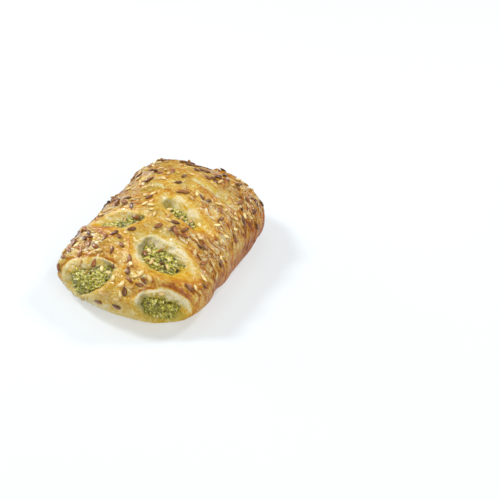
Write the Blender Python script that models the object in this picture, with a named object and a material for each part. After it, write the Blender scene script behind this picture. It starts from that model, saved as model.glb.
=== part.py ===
"""Spinach and feta puff pastry: a baked pillow of layered dough with two staggered columns of
slots, a spinach and cheese filling that shows in them, and linseed and sesame on top.

Metres, +Z up. +Y runs along the pastry, +X across it, and the origin is the middle of its base.
Places on the crust are given as (u, v): arc lengths from the middle of the top, u across, v along.
"""
from collections import namedtuple

import bmesh
import bpy
import numpy as np
from mathutils import Matrix, Vector

# ---- driving dimensions: the pillow ------------------------------------------------------------
HALF_WIDTH = 0.0408          # at the widest level, half way along
HALF_LENGTH = 0.0598
RISE_ABOVE = 0.0218          # from the widest level up to the top of the plain pillow
DROP_BELOW = 0.0172          # from the widest level down to the lowest point of the round underside
BASE_CUT = 0.0020            # how much of that underside the tray flattens
PLAN_POWER = 3.25            # superellipse powers: the outline from above, the upper and lower sides
TOP_POWER = 1.85
BASE_POWER = 3.4

# ---- driving dimensions: how the pillow is pulled out of true ----------------------------------
WAIST = 0.26                 # the two ends are this much wider, as a share
TAPER = -0.032               # the far end against the near end, in width
SKEW = -0.0060               # the far end is shifted across by this, the near end the other way
BOW = 0.0028                 # the middle is pushed across by this
ROUND_ENDS = 0.0075          # the corners of each end are pulled in by this
FAR_RISE = 0.16              # the far end stands higher than the near end, as a share
LEAN = -0.04                 # the right side against the left, in height
CENTRE = (0.0024, 0.0002)    # middle of the finished outline, taken to the origin

# ---- driving dimensions: dough and filling -----------------------------------------------------
TOP_WALL = 0.0050            # dough over the filling
SIDE_WALL = 0.0072           # dough round the sides
BASE_WALL = 0.0055           # dough under the filling, before the base is cut
CLEARANCE = 0.0004           # between filling and dough
ROOM = 1.12                  # how far in the filling lies where it is covered, as a share of the dough
FILLING_LUMP = 0.12          # height of the filling's lumps where it shows, as such a share
LUMP_WAVES = ((2300.0, 900.0, 0.0), (-700.0, 2100.0, 1.0))   # per metre across, per metre along, phase
COVERED_SWELL = 0.1          # the filling stands out by this where dough covers it, as such a share
FILLING_LOW = 1.08           # how far in it lies on the far side of a slot, as such a share
SWELL_PLACES = (-0.0040, 0.0060)   # the filling is risen before the first place off a slot's line
TIP_SINK = 0.30              # and sinks by this towards a slot's tips, as such a share,
INNER_SINK = (0.55, 0.95)    # over these shares of half the slot at the inner tip
OUTER_SINK = (0.45, 1.00)    # and at the outer one
PUFF = 0.0024                # how far the bands between slots stand up
PUFF_REACH = 0.0042          # how quickly they do, away from a slot's rim
NEAR_SLOPE = 0.0022          # how far the near wall of a slot slopes in
TIP_SLOPE = 0.0048           # and the walls at its two tips
FAR_ROUND = 1.15             # the walls leave the crust the more gently, the higher this power is
LEAST_GAP = 0.0008           # the walls of a narrow slot come this close together
LIP = 0.0015                 # extra height of the lip on the near side of each slot
LIP_WIDTH = 0.0028
LIP_PLACE = 0.6              # from the rim out to the lip's crest, as a share of that width
FULL_LIP = 0.0060            # a slot that is narrower than this on its near side has a lower lip
RELIEF_ENDS = (0.85, 1.25)   # puff and lip fade out between these two reaches
RIM_POWER = 0.68             # 0.5 would make each half of a slot an ellipse, 1 a pointed arc
UNEVEN = 0.0007              # slow unevenness of the whole crust
UNEVEN_WAVES = ((190.0, 60.0, 0.7), (-40.0, 150.0, 1.9), (90.0, 310.0, 0.0))   # as for the lumps
UNEVEN_ENDS = (0.7, 1.7)

# ---- driving dimensions: seeds -----------------------------------------------------------------
LINSEED = (0.0046, 0.0023, 0.0012)      # length, width, thickness
SESAME = (0.0038, 0.0021, 0.0010)
SEED_SPOTS = 480                        # spots drawn; those over a slot stay bare
SEED_STEPS = (0.7548777, 0.5698403)     # golden-ratio steps from each spot to the next, across and along
SEED_SCATTER = 0.0012
SEED_APART = 0.0024                     # no two seeds lie closer than this
SEED_DRIFT = 0.0022                     # how far the seeds have drifted into clusters
SEED_WAVES = ((330.0, 120.0, 0.4), (-160.0, 300.0, 1.7))   # as for the lumps
SEED_FIELD = (0.0430, 0.0610)           # half width and half length of the seeded field, as arcs
SEED_REACH = 0.97                       # no seed lies lower than this on the sides
SEED_CLEAR = 0.0028                     # from a seed's middle to the rim of a slot
SEEDS_FUSED = 54                        # the largest come first
SEED_SIDES = 5
SEED_RINGS = 3
SEED_TAPER = 0.25                       # a seed is fuller at one end by this share
SEED_SUNK = 0.12                        # its middle lies this share of its thickness above the crust
SEED_STEP = 0.0008                      # to a seed's neighbouring points, for its slope

# ---- how finely the surfaces are divided -------------------------------------------------------
CRUST_GRID = (28, 40)
CAVITY_GRID = (16, 22)
FILLING_GRID = (26, 36)
CRUST_RINGS = 4
CAVITY_RINGS = 3
FILLING_RINGS = 9
SLOT_SIDES = 20
SLOT_DEPTHS = (-0.9, -0.1, 0.35, 0.8, 1.4)    # rings of a slot's walls, as shares of the dough

# A slot in the lattice: its inner and outer tip, how far its rim stands off the line between the
# two on the far and on the near side, how far its far wall slopes in, how deep its floor lies, and
# how far the filling rises on the near side, both as shares of the dough. A slot with no filling
# has closed up over it.
Slot = namedtuple("Slot", "inner outer far near slope floor swell")
SLOTS = (
    Slot((0.0140, -0.0605), (0.0470, -0.0570), 0.0096, 0.0150, 0.0170, 1.10, 0.80),
    Slot((0.0002, -0.0292), (0.0390, -0.0362), 0.0096, 0.0127, 0.0130, 1.38, 0.44),
    Slot((-0.0050, 0.0008), (0.0330, -0.0058), 0.0070, 0.0066, 0.0090, 1.35, 0.46),
    Slot((0.0000, 0.0240), (0.0350, 0.0213), 0.0050, 0.0040, 0.0070, 0.80, 0.00),
    Slot((0.0040, 0.0488), (0.0330, 0.0438), 0.0044, 0.0034, 0.0060, 0.80, 0.00),
    Slot((-0.0005, -0.0480), (-0.0375, -0.0700), 0.0100, 0.0132, 0.0135, 1.20, 0.75),
    Slot((-0.0025, -0.0160), (-0.0405, -0.0242), 0.0070, 0.0086, 0.0080, 1.35, 0.40),
    Slot((-0.0040, 0.0095), (-0.0340, 0.0043), 0.0044, 0.0034, 0.0060, 0.80, 0.00),
    Slot((-0.0040, 0.0350), (-0.0330, 0.0298), 0.0040, 0.0030, 0.0054, 0.80, 0.00),
    Slot((-0.0060, 0.0570), (-0.0300, 0.0520), 0.0036, 0.0028, 0.0048, 0.80, 0.00),
)
FILLED_SLOTS = [slot for slot in SLOTS if slot.swell > 0]

# A dent in the whole shape, or a swelling where its depth is negative: place, radius and depth.
Dent = namedtuple("Dent", "place radius depth")
DENTS = (
    Dent((-0.0410, 0.0220), 0.0080, 0.0017),
    Dent((-0.0415, -0.0410), 0.0095, 0.0021),
    Dent((-0.0030, 0.0500), 0.0090, 0.0018),
    Dent((0.0260, 0.0570), 0.0090, 0.0016),
    Dent((0.0560, -0.0267), 0.0080, 0.0012),
    Dent((0.0543, 0.0454), 0.0070, 0.0010),
    Dent((-0.0376, -0.0690), 0.0080, -0.0010),
)


# ---- the pillow --------------------------------------------------------------------------------
def quarter_arc(power, radius, rise):
    """A quarter superellipse from its top to its side: shares of its arc, radius and height, and
    the length of the arc."""
    angle = np.linspace(0.0, np.pi / 2, 400)
    out = np.sin(angle) ** (2 / power)
    up = np.cos(angle) ** (2 / power)
    steps = np.hypot(np.diff(radius * out), np.diff(rise * up))
    arc = np.concatenate([[0.0], np.cumsum(steps)])
    return arc / arc[-1], out, up, arc[-1]


MEAN_RADIUS = (HALF_WIDTH + HALF_LENGTH) / 2
TOP_ARC = quarter_arc(TOP_POWER, MEAN_RADIUS, RISE_ABOVE)
BASE_ARC = quarter_arc(BASE_POWER, MEAN_RADIUS, DROP_BELOW)
ACROSS = quarter_arc(TOP_POWER, HALF_WIDTH, RISE_ABOVE)[3]
ALONG = quarter_arc(TOP_POWER, HALF_LENGTH, RISE_ABOVE)[3]


def reach(u, v):
    """0 in the middle of the top, 1 at the widest level, 2 in the middle of the base."""
    return (np.abs(u / ACROSS) ** PLAN_POWER + np.abs(v / ALONG) ** PLAN_POWER) ** (1 / PLAN_POWER)


def fade(value, ends):
    """1 up to the first of the two ends, 0 from the second on, and straight between them."""
    return np.clip((ends[1] - value) / (ends[1] - ends[0]), 0.0, 1.0)


def nested_pillow(u, v, wall=0.0):
    """Point and outward normal at arcs (u, v) of the plain pillow, or of the one that lies inside
    it where wall is the share of the dough's thickness to go in."""
    wide = HALF_WIDTH - wall * SIDE_WALL
    long = HALF_LENGTH - wall * SIDE_WALL
    r = np.maximum(reach(u, v), 1e-6)
    above = r <= 1.0
    share = np.where(above, r, 2.0 - r)
    out_above, up_above = (np.interp(share, TOP_ARC[0], TOP_ARC[i]) for i in (1, 2))
    out_below, up_below = (np.interp(share, BASE_ARC[0], BASE_ARC[i]) for i in (1, 2))
    out = np.where(above, out_above, out_below)
    up = np.where(above, up_above, up_below)
    height = np.where(above, RISE_ABOVE - wall * TOP_WALL, wall * BASE_WALL - DROP_BELOW)
    power = np.where(above, TOP_POWER, BASE_POWER)
    x = u / ACROSS / r * out
    y = v / ALONG / r * out
    point = np.stack([x * wide, y * long, DROP_BELOW + height * up], axis=-1)
    steep = np.maximum(out, 1e-3) ** (power - PLAN_POWER)
    normal = np.stack([
        steep * np.abs(x) ** (PLAN_POWER - 1) * np.sign(x) / HALF_WIDTH,
        steep * np.abs(y) ** (PLAN_POWER - 1) * np.sign(y) / HALF_LENGTH,
        up ** (power - 1) / height], axis=-1)
    return point, normal / np.linalg.norm(normal, axis=-1, keepdims=True)


def pull_out_of_true(point):
    """Skew, bow, waist and rise of the baked pillow, with its base cut flat."""
    x, y, z = point[..., 0], point[..., 1], point[..., 2]
    along = y / HALF_LENGTH
    across = x / HALF_WIDTH
    x_out = x * (1 + TAPER * along + WAIST * (along ** 2 - 0.3)) + SKEW * along + BOW * (1 - along ** 2)
    y_out = y - ROUND_ENDS * np.sign(y) * along ** 2 * across ** 2
    above = np.maximum(z - DROP_BELOW, 0.0)
    z_out = np.minimum(z, DROP_BELOW) + above * (1 + FAR_RISE * along) * (1 + LEAN * across)
    z_out = np.maximum(z_out - BASE_CUT, 0.0)
    return np.stack([x_out - CENTRE[0], y_out - CENTRE[1], z_out], axis=-1)


def on_crust(u, v, lift):
    """The finished shape's point at (u, v), with the crust standing up by lift."""
    point, normal = nested_pillow(u, v)
    return pull_out_of_true(point + normal * lift[..., None])


def in_dough(u, v, share):
    """The finished shape's point under (u, v), at that share of the way through the dough."""
    return pull_out_of_true(nested_pillow(u, v, share)[0])


# ---- slots and relief --------------------------------------------------------------------------
def slot_axes(slot):
    """A slot's middle, half its length, and its directions along and towards the far side."""
    inner = np.array(slot.inner)
    outer = np.array(slot.outer)
    half = np.linalg.norm(outer - inner) / 2
    along = (outer - inner) / (2 * half)
    far = np.array([-along[1], along[0]])
    return (inner + outer) / 2, half, along, far * np.sign(far[1])


def slot_place(slot, u, v):
    """Place along a slot (-1 to 1 between its tips) and height off its line, far side positive."""
    middle, half, along, far = slot_axes(slot)
    du = u - middle[0]
    dv = v - middle[1]
    return (du * along[0] + dv * along[1]) / half, du * far[0] + dv * far[1], half


def rim_gap(slot, u, v):
    """Distance outside a slot's rim, or inside it where negative, and the place off its line. The
    rim is two arcs between the tips."""
    a, b, half = slot_place(slot, u, v)
    width = np.where(b > 0, slot.far, slot.near)
    bulge = width * np.clip(1 - a ** 2, 0.0, 1.0) ** RIM_POWER
    past_tip = np.maximum(np.abs(a) - 1, 0.0) * half
    return np.where(past_tip > 0, np.hypot(past_tip, b), np.abs(b) - bulge), b


def waves(rows, u, v):
    """A plain sine over the crust for each row of (per metre across, per metre along, phase)."""
    return [np.sin(across * u + along * v + phase) for across, along, phase in rows]


def unevenness(u, v):
    """Slow waves over the whole crust, between -1 and 1."""
    first, second, third = waves(UNEVEN_WAVES, u, v)
    return (first * second + 0.5 * third) / 1.5


def dents(u, v):
    """How far the whole shape is dented at (u, v): bell curves round a few places."""
    return sum(
        dent.depth * np.exp(-((u - dent.place[0]) ** 2 + (v - dent.place[1]) ** 2) / dent.radius ** 2)
        for dent in DENTS)


def crust_relief(u, v):
    """Bands that puff up between the slots, a lip on the near side of each, slow waves and dents."""
    gap = np.full(np.shape(u), 1.0)
    lip = np.zeros(np.shape(u))
    for slot in SLOTS:
        here, side = rim_gap(slot, u, v)
        gap = np.minimum(gap, here)
        near = (side < 0) * np.exp(-(here / LIP_WIDTH - LIP_PLACE) ** 2)
        lip = np.maximum(lip, near * min(1.0, slot.near / FULL_LIP))
    puff = 1 - np.exp(-np.maximum(gap, 0.0) / PUFF_REACH)
    r = reach(u, v)
    slow = UNEVEN * unevenness(u, v) * fade(r, UNEVEN_ENDS)
    return fade(r, RELIEF_ENDS) * (PUFF * (puff - 0.5) + LIP * lip) + slow - dents(u, v)


def filling_depth(u, v):
    """How far in the filling's surface lies, as a share of the dough's thickness. In the slots it
    is lumpy, low at the tips and on the far side, and risen on the near side."""
    first, second = waves(LUMP_WAVES, u, v)
    lumps = FILLING_LUMP * first * second
    depth = np.full(np.shape(u), 1 - COVERED_SWELL)
    for slot in FILLED_SLOTS:
        gap, side = rim_gap(slot, u, v)
        place = slot_place(slot, u, v)[0]
        middle = np.minimum(fade(-place, INNER_SINK), fade(place, OUTER_SINK))
        risen = slot.swell * fade(side, SWELL_PLACES) * middle - TIP_SINK * (1 - middle)
        depth = np.where(gap < 0, FILLING_LOW - risen - lumps, depth)
    return depth


# ---- meshes ------------------------------------------------------------------------------------
def closed_mesh(name, points, faces):
    """A mesh of triangles, all facing out, so that a Boolean meets only flat faces."""
    mesh = bpy.data.meshes.new(name)
    mesh.from_pydata(np.asarray(points).tolist(), [], [tuple(int(i) for i in face) for face in faces])
    tidy = bmesh.new()
    tidy.from_mesh(mesh)
    bmesh.ops.triangulate(tidy, faces=tidy.faces)
    bmesh.ops.recalc_face_normals(tidy, faces=tidy.faces)
    tidy.to_mesh(mesh)
    tidy.free()
    return mesh


def pillow_mesh(name, grid, side_rings, last_reach, place):
    """A closed pillow: a square grid over the top, out to the widest level, then rings down to
    last_reach and one flat face as the base. place gives the point for each (u, v)."""
    columns, rows = grid
    s, t = np.meshgrid(np.linspace(-1, 1, columns + 1), np.linspace(-1, 1, rows + 1))
    r = np.maximum((np.abs(s) ** PLAN_POWER + np.abs(t) ** PLAN_POWER) ** (1 / PLAN_POWER), 1e-9)
    share = np.maximum(np.abs(s), np.abs(t)) / r
    top_u = s * share * ACROSS
    top_v = t * share * ALONG
    index = np.arange(s.size).reshape(s.shape)
    edge = np.concatenate([index[0, :-1], index[:-1, -1], index[-1, :0:-1], index[:0:-1, 0]])
    rings = np.linspace(1.0, last_reach, side_rings + 1)[1:]
    u = np.concatenate([top_u.ravel()] + [top_u.ravel()[edge] * ring for ring in rings])
    v = np.concatenate([top_v.ravel()] + [top_v.ravel()[edge] * ring for ring in rings])
    points = place(u, v)
    faces = [(a, b, c, d) for a, b, c, d in zip(
        index[:-1, :-1].ravel(), index[:-1, 1:].ravel(), index[1:, 1:].ravel(), index[1:, :-1].ravel())]
    upper = edge
    for ring in range(side_rings):
        lower = s.size + ring * edge.size + np.arange(edge.size)
        faces += list(zip(lower, np.roll(lower, -1), np.roll(upper, -1), upper))
        upper = lower
    points[upper, 2] = points[upper, 2].min()
    faces.append(tuple(upper[::-1]))
    return closed_mesh(name, points, faces)


def slot_mesh(name, slot, clear=0.0):
    """A solid that fills a slot: rings that follow its rim and slope in on the way down through
    the dough. Its walls stand off those of the slot by clear, square to them."""
    middle, half, along, far = slot_axes(slot)
    far_clear = clear * np.hypot(TOP_WALL, slot.slope) / TOP_WALL
    angle = np.linspace(0, 2 * np.pi, SLOT_SIDES, endpoint=False)
    a = np.cos(angle)
    points = []
    depths = [depth for depth in SLOT_DEPTHS if slot in FILLED_SLOTS or depth <= slot.floor]
    for depth in depths:
        sloped = np.clip(depth / slot.floor, 0.0, 1.0) ** (1 / FAR_ROUND)
        near_width = slot.near - NEAR_SLOPE * sloped - clear
        far_width = max(slot.far - slot.slope * sloped - far_clear, LEAST_GAP - near_width)
        shorter = half - TIP_SLOPE * sloped - far_clear
        tip_off = min(far_width, 0.0)
        width = np.where(np.sin(angle) > 0, far_width - tip_off, -near_width - tip_off)
        b = tip_off + width * np.clip(1 - a ** 2, 0.0, 1.0) ** RIM_POWER
        u = middle[0] + along[0] * a * shorter + far[0] * b
        v = middle[1] + along[1] * a * shorter + far[1] * b
        points.append(in_dough(u, v, depth))
    ring = np.arange(SLOT_SIDES)
    faces = [tuple(ring[::-1]), tuple(ring + SLOT_SIDES * (len(depths) - 1))]
    for level in range(len(depths) - 1):
        upper = ring + level * SLOT_SIDES
        lower = upper + SLOT_SIDES
        faces += list(zip(upper, np.roll(upper, -1), lower))
        faces += list(zip(np.roll(upper, -1), np.roll(lower, -1), lower))
    return closed_mesh(name, np.concatenate(points), faces)


def seed_mesh(name, size):
    """A flat teardrop, pointed at one end: a few rings of few sides between two poles."""
    length, width, thickness = size
    points = [(-length / 2, 0.0, 0.0)]
    for ring in range(1, SEED_RINGS + 1):
        angle = np.pi * ring / (SEED_RINGS + 1)
        x = -np.cos(angle) * length / 2
        fat = np.sin(angle) * (1 + SEED_TAPER * np.cos(angle))
        for side in range(SEED_SIDES):
            turn = 2 * np.pi * side / SEED_SIDES + np.pi / 2
            points.append((x, fat * width / 2 * np.cos(turn), fat * thickness / 2 * np.sin(turn)))
    points.append((length / 2, 0.0, 0.0))
    last = len(points) - 1
    faces = []
    for side in range(SEED_SIDES):
        after = (side + 1) % SEED_SIDES
        faces.append((0, 1 + after, 1 + side))
        for ring in range(SEED_RINGS - 1):
            low = 1 + ring * SEED_SIDES
            high = low + SEED_SIDES
            faces.append((low + side, low + after, high + after, high + side))
        low = 1 + (SEED_RINGS - 1) * SEED_SIDES
        faces.append((low + side, low + after, last))
    return closed_mesh(name, points, faces)


def thin_out(u, v, least):
    """Which spots to keep so that none lies closer than least to one that comes before it."""
    apart = np.hypot(u[:, None] - u, v[:, None] - v)
    return ~np.tril(apart < least, -1).any(axis=1)


def seed_spots():
    """Spots spread over the top by a golden-ratio sequence and drifted into loose clusters, leaving
    the slots bare. Each has its place, its turn and its kind."""
    draw = np.random.default_rng(7)
    n = np.arange(1, SEED_SPOTS + 1)
    u, v = (
        ((step * n) % 1.0 * 2 - 1) * half + draw.normal(0.0, SEED_SCATTER, SEED_SPOTS)
        for step, half in zip(SEED_STEPS, SEED_FIELD))
    drift = SEED_DRIFT * np.array(waves(SEED_WAVES, u, v))
    u, v = u + drift[0], v + drift[1]
    turn = draw.uniform(0.0, 2 * np.pi, SEED_SPOTS)
    linseed = draw.random(SEED_SPOTS) < 0.5
    clear = np.min([rim_gap(slot, u, v)[0] for slot in SLOTS], axis=0) > SEED_CLEAR
    keep = clear & (reach(u, v) < SEED_REACH) & thin_out(u, v, SEED_APART)
    return u[keep], v[keep], turn[keep], linseed[keep]


# ---- materials ---------------------------------------------------------------------------------
def food_material(name, colour, roughness):
    """A plain material in one colour."""
    material = bpy.data.materials.new(name)
    material.use_nodes = True
    shader = material.node_tree.nodes["Principled BSDF"]
    shader.inputs["Base Color"].default_value = (*colour, 1.0)
    shader.inputs["Roughness"].default_value = roughness
    shader.inputs["Metallic"].default_value = 0.0
    return material


# ---- objects -----------------------------------------------------------------------------------
def add_object(name, mesh, material=None):
    thing = bpy.data.objects.new(name, mesh)
    bpy.context.scene.collection.objects.link(thing)
    if material:
        mesh.materials.append(material)
    return thing


def add_cutter(name, mesh):
    cutter = add_object(name, mesh)
    cutter.hide_render = True
    cutter.display_type = "WIRE"
    return cutter


def apply_boolean(thing, operation, others, solver="EXACT"):
    """Join or cut thing with a group of others in one step, then remove them."""
    group = bpy.data.collections.new(thing.name + "_" + operation.lower())
    bpy.context.scene.collection.children.link(group)
    for other in others:
        group.objects.link(other)
    step = thing.modifiers.new("Boolean", "BOOLEAN")
    step.operation = operation
    step.solver = solver
    step.operand_type = "COLLECTION"
    step.collection = group
    bpy.context.view_layer.update()
    done = bpy.data.meshes.new_from_object(thing.evaluated_get(bpy.context.evaluated_depsgraph_get()))
    thing.modifiers.remove(step)
    thing.data = done
    for other in others:
        bpy.data.objects.remove(other)
    bpy.data.collections.remove(group)


def base_reach():
    """The reach at which the tray cuts the round underside."""
    share = 1 - BASE_CUT / DROP_BELOW
    return 2.0 - float(np.interp(share, BASE_ARC[2][::-1], BASE_ARC[0][::-1]))


def drop_scraps(thing):
    """Keep only the largest body of a mesh."""
    mesh = bmesh.new()
    mesh.from_mesh(thing.data)
    waiting = set(mesh.verts)
    bodies = []
    while waiting:
        edge_of_body = [waiting.pop()]
        body = list(edge_of_body)
        while edge_of_body:
            vertex = edge_of_body.pop()
            found = [edge.other_vert(vertex) for edge in vertex.link_edges]
            found = [other for other in found if other in waiting]
            waiting.difference_update(found)
            edge_of_body += found
            body += found
        bodies.append(body)
    bodies.sort(key=len)
    for body in bodies[:-1]:
        bmesh.ops.delete(mesh, geom=body, context="VERTS")
    mesh.to_mesh(thing.data)
    mesh.free()


def make_pastry():
    dough = food_material("baked_dough", (0.62, 0.36, 0.10), 0.42)
    pastry = add_object("pastry", pillow_mesh(
        "pastry", CRUST_GRID, CRUST_RINGS, base_reach(),
        lambda u, v: on_crust(u, v, crust_relief(u, v))), dough)
    cavity = add_cutter("cavity", pillow_mesh(
        "cavity", CAVITY_GRID, CAVITY_RINGS, base_reach(), lambda u, v: in_dough(u, v, 1.0)))
    slots = [add_cutter(f"slot_{i}", slot_mesh(f"slot_{i}", slot)) for i, slot in enumerate(SLOTS)]
    apply_boolean(pastry, "DIFFERENCE", [cavity] + slots)
    return pastry


def make_filling():
    """The filling: a lumpy pillow, kept to the cavity and to the room inside each slot's walls."""
    spinach = food_material("spinach_filling", (0.33, 0.40, 0.07), 0.5)
    filling = add_object("filling", pillow_mesh(
        "filling", FILLING_GRID, FILLING_RINGS, base_reach(),
        lambda u, v: in_dough(u, v, filling_depth(u, v))), spinach)
    room = add_cutter("room", pillow_mesh(
        "room", CAVITY_GRID, CAVITY_RINGS, base_reach(), lambda u, v: in_dough(u, v, ROOM)))
    plugs = [
        add_cutter(f"plug_{i}", slot_mesh(f"plug_{i}", slot, CLEARANCE))
        for i, slot in enumerate(FILLED_SLOTS)]
    apply_boolean(room, "UNION", plugs)
    apply_boolean(filling, "INTERSECT", [room])
    drop_scraps(filling)


def make_seeds():
    """Seeds that lie on the crust, half sunk in its glaze."""
    u, v, turn, linseed = seed_spots()
    order = np.argsort(~linseed, kind="stable")[:SEEDS_FUSED]
    seeds = []
    for number, i in enumerate(order):
        size = LINSEED if linseed[i] else SESAME
        near_u = u[i] + np.array([0.0, SEED_STEP, 0.0])
        near_v = v[i] + np.array([0.0, 0.0, SEED_STEP])
        here, right, ahead = on_crust(near_u, near_v, crust_relief(near_u, near_v))
        right = right - here
        ahead = ahead - here
        normal = Vector(np.cross(right, ahead)).normalized()
        length = Vector(right * np.cos(turn[i]) + ahead * np.sin(turn[i])).normalized()
        width = normal.cross(length).normalized()
        length = width.cross(normal)
        axes = Matrix((length, width, normal)).transposed().to_4x4()
        centre = Vector(here) + normal * SEED_SUNK * size[2]
        mesh = seed_mesh(f"seed_{number}", size)
        mesh.transform(Matrix.Translation(centre) @ axes)
        seeds.append(add_object(f"seed_{number}", mesh))
    return seeds


def main():
    for old in list(bpy.data.objects):
        bpy.data.objects.remove(old)
    pastry = make_pastry()
    # The exact solver leaves open edges where a seed crosses the bent walls of a slot.
    apply_boolean(pastry, "UNION", make_seeds(), "MANIFOLD")
    drop_scraps(pastry)
    make_filling()


main()
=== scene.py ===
"""The looks of a spinach and feta puff pastry: a glazed, wrinkled crust with slots, the filling that
shows in them, linseed and sesame, in soft light on a pale floor.

Metres, +Z up. Places on the crust are (u, v): arc lengths from the middle of the top, u across, v along.
"""

from collections import namedtuple
from types import SimpleNamespace as Named

import bpy
import numpy as np
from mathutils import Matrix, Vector


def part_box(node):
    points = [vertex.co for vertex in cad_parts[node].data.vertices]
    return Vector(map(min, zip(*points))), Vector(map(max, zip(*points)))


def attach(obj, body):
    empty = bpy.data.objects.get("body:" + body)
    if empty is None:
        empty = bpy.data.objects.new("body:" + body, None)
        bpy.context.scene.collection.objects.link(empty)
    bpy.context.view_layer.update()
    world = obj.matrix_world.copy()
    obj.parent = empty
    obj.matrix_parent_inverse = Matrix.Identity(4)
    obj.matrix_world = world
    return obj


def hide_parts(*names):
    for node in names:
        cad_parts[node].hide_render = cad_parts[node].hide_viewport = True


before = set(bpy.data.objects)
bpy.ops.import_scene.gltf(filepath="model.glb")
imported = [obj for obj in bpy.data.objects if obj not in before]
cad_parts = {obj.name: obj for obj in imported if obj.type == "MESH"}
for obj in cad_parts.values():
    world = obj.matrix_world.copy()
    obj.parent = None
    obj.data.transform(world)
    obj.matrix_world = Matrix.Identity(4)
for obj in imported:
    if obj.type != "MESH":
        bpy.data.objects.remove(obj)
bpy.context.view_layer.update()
LOW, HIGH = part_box("pastry")
WIDTH, LENGTH, HEIGHT = HIGH - LOW

# A noise is its height, the length of its waves across and along, a seed, and its octaves.
Noise = namedtuple("Noise", "height across along seed octaves", defaults=[3])

# ---- the pillow, from the frame ----
HALF_WIDTH = 0.4730 * WIDTH
HALF_LENGTH = 0.4938 * LENGTH
RISE_ABOVE = 0.5704 * HEIGHT  # from the widest level up to the top
DROP_BELOW = 0.4500 * HEIGHT  # from there down to the lowest point of the round underside
BASE_CUT = 0.0523 * HEIGHT  # what the tray flattens
PLAN_POWER = 3.25  # superellipse powers: the outline from above, the upper and lower sides
TOP_POWER = 1.85
BASE_POWER = 3.4
ARC_POINTS = 400  # points along a quarter of an arc
WAIST = 0.26  # how the pillow is pulled out of true, as in the solid
TAPER = -0.032
SKEW = -0.0060
BOW = 0.0028
ROUND_ENDS = 0.0075
FAR_RISE = 0.16
LEAN = -0.04
CENTRE = (0.0024, 0.0002)
TOP_WALL = 0.0050  # dough over, round and under the filling
SIDE_WALL = 0.0072
BASE_WALL = 0.0055

# ---- slots ----
# Inner and outer tip, how far the rim stands off the line between them on the far and the near side,
# how far the far wall slopes in, how deep the floor lies as a share of the dough, and how far the
# filling rises from there on the near side.
Slot = namedtuple("Slot", "inner outer far near slope floor swell")
SLOTS = (
    Slot((0.0140, -0.0605), (0.0470, -0.0570), 0.0096, 0.0150, 0.0170, 1.10, 0.80),
    Slot((0.0002, -0.0292), (0.0390, -0.0362), 0.0096, 0.0127, 0.0130, 1.38, 0.44),
    Slot((-0.0050, 0.0008), (0.0330, -0.0058), 0.0070, 0.0066, 0.0090, 1.35, 0.46),
    Slot((0.0000, 0.0240), (0.0350, 0.0213), 0.0050, 0.0040, 0.0070, 0.80, 0.00),
    Slot((0.0040, 0.0488), (0.0330, 0.0438), 0.0044, 0.0034, 0.0060, 0.80, 0.00),
    Slot((-0.0005, -0.0480), (-0.0375, -0.0700), 0.0100, 0.0132, 0.0135, 1.20, 0.75),
    Slot((-0.0025, -0.0160), (-0.0405, -0.0242), 0.0070, 0.0086, 0.0080, 1.35, 0.40),
    Slot((-0.0040, 0.0095), (-0.0340, 0.0043), 0.0044, 0.0034, 0.0060, 0.80, 0.00),
    Slot((-0.0040, 0.0350), (-0.0330, 0.0298), 0.0040, 0.0030, 0.0054, 0.80, 0.00),
    Slot((-0.0060, 0.0570), (-0.0300, 0.0520), 0.0036, 0.0028, 0.0048, 0.80, 0.00),
)
RIM_POWER = 0.68
RIM_POINTS = 36  # straight pieces in each half of a rim
CORNER_SLOTS = (0, 5)  # their far rims are baked to a brown line
# How far the near wall slopes in, half way along, at the inner and at the outer tip, by how much the
# far wall is steeper at the inner one, and how roundly each falls away from the crust.
WALL = Named(
    near=0.0022, inner=0.0042, inner_part=(0.4, 0.9), outer=0.0050, outer_part=(0.1, 0.9),
    steeper=0.35, steeper_part=(0.3, 0.9), far_round=1.15, near_round=0.85)
SIDE_BLEND = 0.0020  # over which the near side turns into the far side at the tips
RAGGED = (Noise(0.0011, 0.0055, 0.0055, 91, 1), Noise(0.0011, 0.0055, 0.0055, 92, 1))
FRAYED = (Noise(0.00035, 0.0019, 0.0019, 93, 1), Noise(0.00035, 0.0019, 0.0019, 94, 1))

# ---- relief of the crust ----
# A pair is where something starts and ends to set in or to end: reaches, which are 0 in the middle of
# the top, 1 at the widest level and 2 in the middle of the base; metres off a rim or a slot's line;
# or shares of half a slot's length or of the dough's thickness.
PUFF = Named(height=0.0024, width=0.0042, level=0.5, end=(0.85, 1.25))
LIP = Named(height=0.0015, width=0.0028, crest=0.6, full=0.0060, smooth=0.75)
UNEVEN = 0.0007
UNEVEN_WAVES = ((190.0, 60.0, 0.7), (-40.0, 150.0, 1.9), (90.0, 310.0, 0.0))  # per metre, and phase
THIRD_WAVE = 0.5
BODY_END = (0.70, 1.70)
BARE_DEPTH = 0.25  # the relief ends at this depth in the open slots
SLANT = Named(usual=0.18, more=0.35, near=(0.035, 0.070), wander=Noise(0.0016, 0.011, 0.011, 3, 1))
OTHER_SIDE = 40  # waves between the noise of the left side and that of the right
WRINKLE = 0.00095
WRINKLES = Noise(1.0, 0.0120, 0.0026, 11)
FOLDS = Noise(1.0, 0.0080, 0.0019, 17, 1)
FINE_FOLDS = Noise(0.45, 0.0045, 0.0009, 18, 1)
FOLD_WARP = Noise(0.0007, 0.0045, 0.0045, 13)
FOLD_RISE = 1.5  # how fast a fold's shade rises from its groove
GROOVE = Named(depth=0.00085, width=0.16, patches=Noise(1.0, 0.008, 0.008, 19, 1), shown=(-0.6, 0.4))
BLISTERS = Noise(0.00016, 0.0022, 0.0022, 23)
WALL_WAVES = (Noise(0.10, 0.006, 0.006, 29), Noise(0.16, 0.0026, 0.0026, 30))
WALL_START = (0.05, 0.50)

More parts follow.
